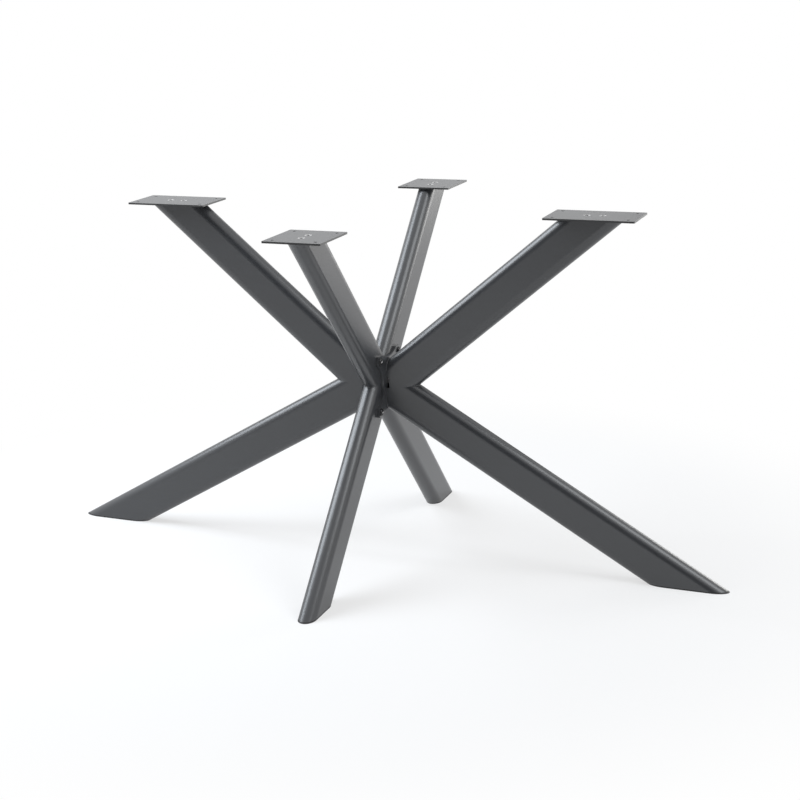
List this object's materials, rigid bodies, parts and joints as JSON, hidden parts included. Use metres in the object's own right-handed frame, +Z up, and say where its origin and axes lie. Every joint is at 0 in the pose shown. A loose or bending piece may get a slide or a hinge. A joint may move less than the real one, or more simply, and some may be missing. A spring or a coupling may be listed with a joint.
{
  "type": "table frame",
  "caption": "Crossed steel base for a rectangular dining table: flat oval bars spread from a bolted hub up to level screw plates and down to level feet.",
  "frame": {"origin": "on the floor, midway between the feet both ways, under the hub", "axes": "+X along the table's length to the right foot, +Y to the rear foot, +Z up"},
  "size_m": [1.4346, 0.8174, 0.72],
  "materials": {
    "powder_coat": "satin anthracite powder coat with a fine grain",
    "plate_coat": "satin anthracite powder coat on laser cut plate",
    "bolt_steel": "black oxide",
    "zinc_steel": "bright zinc",
    "black_plastic": "matte black"
  },
  "bodies": {
    "root": {"cross_bar_front_upper": "powder_coat", "cross_bar_front_lower": "powder_coat", "cross_bar_rear_upper": "powder_coat", "cross_bar_rear_lower": "powder_coat", "fork_bar_left_upper": "powder_coat", "fork_bar_left_lower": "powder_coat", "flange_plate_left": "powder_coat", "fork_bar_right_upper": "powder_coat", "fork_bar_right_lower": "powder_coat", "flange_plate_right": "powder_coat", "top_plate_front": "plate_coat", "foot_cap_front": "black_plastic", "top_plate_rear": "plate_coat", "foot_cap_rear": "black_plastic", "top_plate_left": "plate_coat", "foot_cap_left": "black_plastic", "top_plate_right": "plate_coat", "foot_cap_right": "black_plastic", "bolt_left_front_upper": "bolt_steel", "insert_left_front_upper": "zinc_steel", "bolt_left_front_lower": "bolt_steel", "insert_left_front_lower": "zinc_steel", "bolt_left_rear_upper": "bolt_steel", "insert_left_rear_upper": "zinc_steel", "bolt_left_rear_lower": "bolt_steel", "insert_left_rear_lower": "zinc_steel", "bolt_right_front_upper": "bolt_steel", "insert_right_front_upper": "zinc_steel", "bolt_right_front_lower": "bolt_steel", "insert_right_front_lower": "zinc_steel", "bolt_right_rear_upper": "bolt_steel", "insert_right_rear_upper": "zinc_steel", "bolt_right_rear_lower": "bolt_steel", "insert_right_rear_lower": "zinc_steel"}
  },
  "joints": []
}
